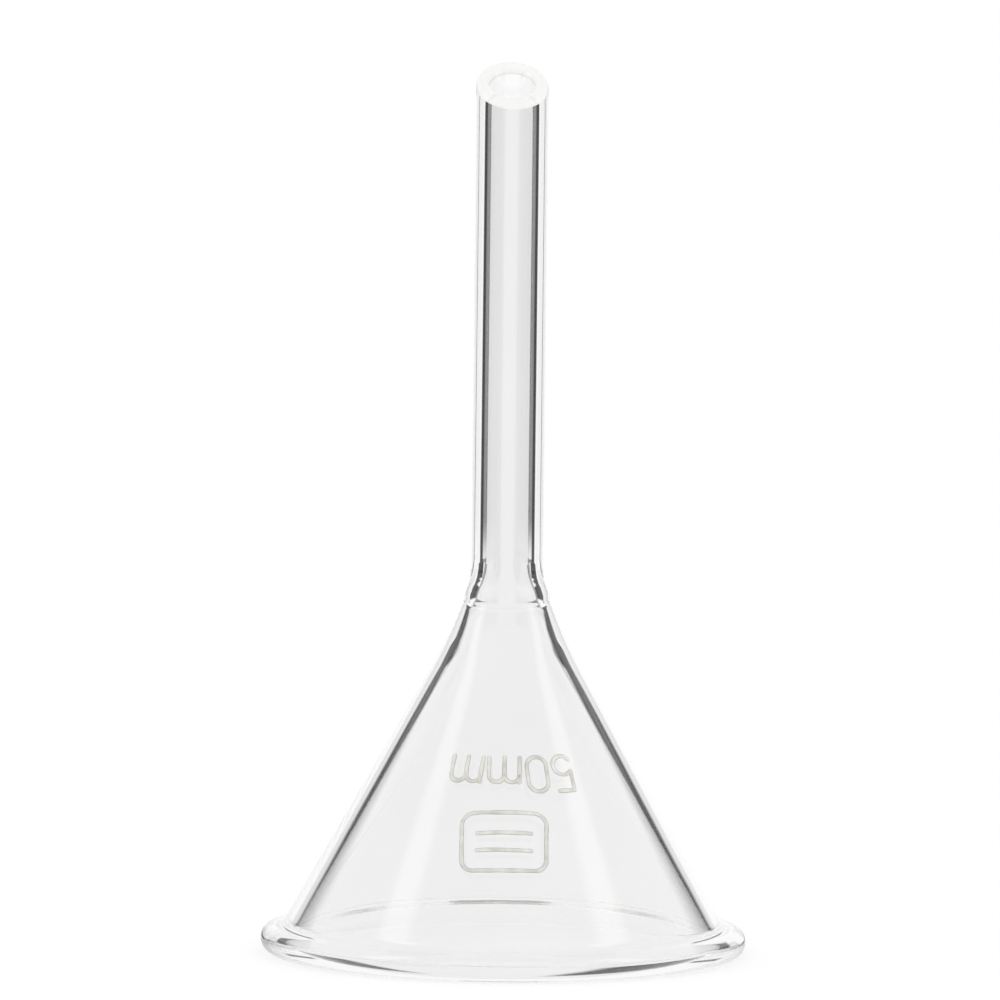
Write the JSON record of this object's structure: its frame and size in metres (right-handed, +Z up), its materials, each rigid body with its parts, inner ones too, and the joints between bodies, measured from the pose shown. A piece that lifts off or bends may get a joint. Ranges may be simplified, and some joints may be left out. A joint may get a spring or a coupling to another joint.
{
  "type": "filling funnel",
  "caption": "Clear glass laboratory filling funnel with a beaded rim, a conical bowl and a straight stem cut on a bevel at its tip.",
  "frame": {"origin": "centre of the mouth plane, where the funnel's axis meets the surface that the rim stands on", "axes": "+Z up the axis from the mouth to the stem's tip; the open side of the bevelled tip and the enamel marks face -Y; +X to the right when looking at the marks"},
  "size_m": [0.05, 0.05, 0.0918],
  "materials": {
    "clear_glass": "clear, fire polished",
    "fired_enamel": "thin, slightly glossy fired enamel"
  },
  "bodies": {
    "root": {"rim_bead": "clear_glass", "bowl": "clear_glass", "neck_seal": "clear_glass", "stem": "clear_glass", "size_mark": "fired_enamel", "marking_panel": "fired_enamel"}
  },
  "joints": []
}
